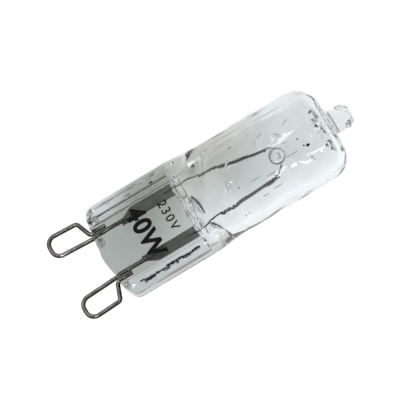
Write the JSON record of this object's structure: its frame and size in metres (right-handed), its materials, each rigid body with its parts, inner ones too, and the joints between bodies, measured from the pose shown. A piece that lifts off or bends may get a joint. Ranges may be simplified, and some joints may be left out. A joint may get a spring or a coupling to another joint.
{
  "type": "halogen capsule bulb",
  "caption": "Clear quartz halogen capsule bulb: flat press seal with looped wire pins, coiled filament hooked over a pressed dimple, domed end and exhaust tip.",
  "frame": {"origin": "middle of the seal's pin end, on the bulb's axis, at the level where the pins leave the quartz", "axes": "+X along the bulb to its exhaust tip, +Y from pin to pin towards the left pin, +Z out of the seal's upper flat face; the bulb lies on its side with the flat seal level"},
  "size_m": [0.0432, 0.0134, 0.013],
  "materials": {
    "quartz": "clear, glossy fused quartz with faint ripples from pressing",
    "tungsten": "dark grey drawn tungsten wire",
    "foil_metal": "thin dark grey molybdenum strip, satin",
    "pin_metal": "drawn wire, darkened brown by heat",
    "ink": "black printed ink on the seal's flat face"
  },
  "bodies": {
    "root": {"quartz_envelope": "quartz", "filament": "tungsten", "foil_left": "foil_metal", "foil_right": "foil_metal", "pin_left": "pin_metal", "pin_right": "pin_metal"}
  },
  "joints": []
}
